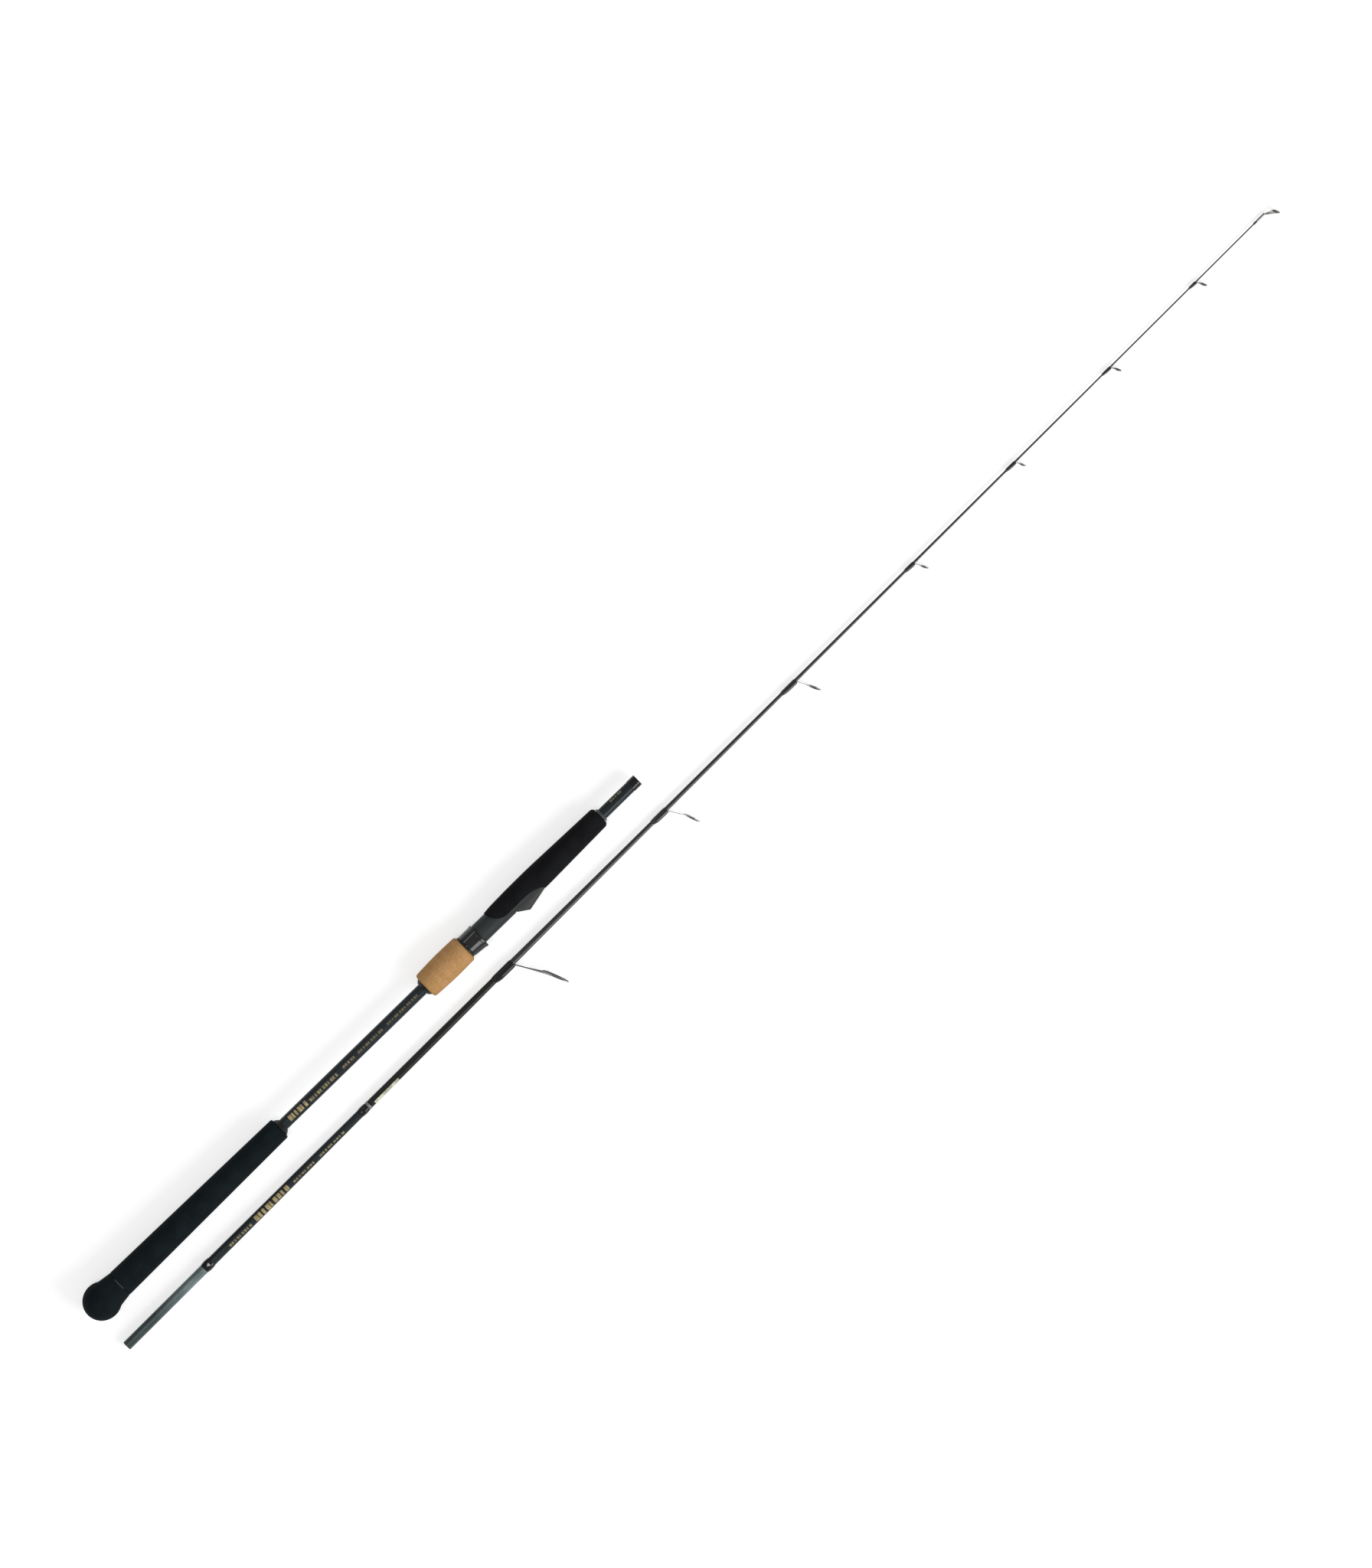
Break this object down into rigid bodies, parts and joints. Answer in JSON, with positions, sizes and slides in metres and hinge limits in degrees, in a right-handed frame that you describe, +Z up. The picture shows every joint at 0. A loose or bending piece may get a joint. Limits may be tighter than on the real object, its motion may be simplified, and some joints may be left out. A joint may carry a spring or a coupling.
{
  "type": "light jigging rod",
  "caption": "Two-piece spinning jigging rod taken apart: foam and cork handle with a sliding hood reel seat, beside its tapered tip section with single-foot line guides.",
  "frame": {"origin": "middle of the rod's box as it lies taken apart, on the ground", "axes": "+X along the tip section from its butt to its tip-top, -Y the side the guides and the reel bed face, +Z up"},
  "size_m": [1.4122, 0.1066, 0.034],
  "materials": {
    "grip_foam": "matt closed-cell foam",
    "black_check": "satin",
    "blank_lacquer": "lacquered carbon",
    "seat_plastic": "matt slate grey",
    "arbor": "foam bush, hidden",
    "winding_check": "satin",
    "wrap_gloss": "thread under clear epoxy",
    "silver_trim": "pale thread under clear epoxy",
    "hood_gloss": "high gloss",
    "nut_plastic": "satin",
    "cork": "sanded cork",
    "guide_frame": "smoked",
    "guide_ring": "polished ceramic"
  },
  "bodies": {
    "handle": {"butt_ball": "grip_foam", "rear_grip": "grip_foam", "rear_grip_check": "black_check", "handle_blank": "blank_lacquer", "seat_check": "black_check", "reel_seat": "seat_plastic", "rear_arbor": "arbor", "front_arbor": "arbor", "foregrip": "grip_foam", "foregrip_check": "winding_check", "mouth_wrap": "wrap_gloss"},
    "moving_hood": {"moving_hood": "hood_gloss"},
    "lock_nut": {"lock_nut": "nut_plastic", "cork_grip": "cork"},
    "tip_section": {"tip_blank": "blank_lacquer", "ferrule_wrap": "wrap_gloss", "trim_wrap": "wrap_gloss", "trim_ring": "silver_trim", "guide_1_frame": "guide_frame", "guide_1_ring": "guide_ring", "guide_1_wrap": "wrap_gloss", "guide_2_frame": "guide_frame", "guide_2_ring": "guide_ring", "guide_2_wrap": "wrap_gloss", "guide_3_frame": "guide_frame", "guide_3_ring": "guide_ring", "guide_3_wrap": "wrap_gloss", "guide_4_frame": "guide_frame", "guide_4_ring": "guide_ring", "guide_4_wrap": "wrap_gloss", "guide_5_frame": "guide_frame", "guide_5_ring": "guide_ring", "guide_5_wrap": "wrap_gloss", "guide_6_frame": "guide_frame", "guide_6_ring": "guide_ring", "guide_6_wrap": "wrap_gloss", "guide_7_frame": "guide_frame", "guide_7_ring": "guide_ring", "guide_7_wrap": "wrap_gloss", "tip_top_frame": "guide_frame", "tip_top_ring": "guide_ring", "tip_top_wrap": "wrap_gloss"}
  },
  "joints": [
    {"name": "hood_slide", "type": "slide", "parent": "handle", "child": "moving_hood", "axis": [0.9999, -0.011, -0.0084], "range_m": [0, 0.015]},
    {"name": "nut_spin", "type": "hinge", "parent": "moving_hood", "child": "lock_nut", "pos_m": [-0.2687, 0.03169, 0.01355], "axis": [0.9999, -0.011, -0.0084], "range_deg": [0, 1801]},
    {"name": "section_slide", "type": "slide", "parent": "handle", "child": "tip_section", "axis": [1, 0, 0], "range_m": [0, 0.68]}
  ],
  "couplings": [
    {"joint": "nut_spin", "follows": "hood_slide", "rad_per_m": 2094.4}
  ]
}
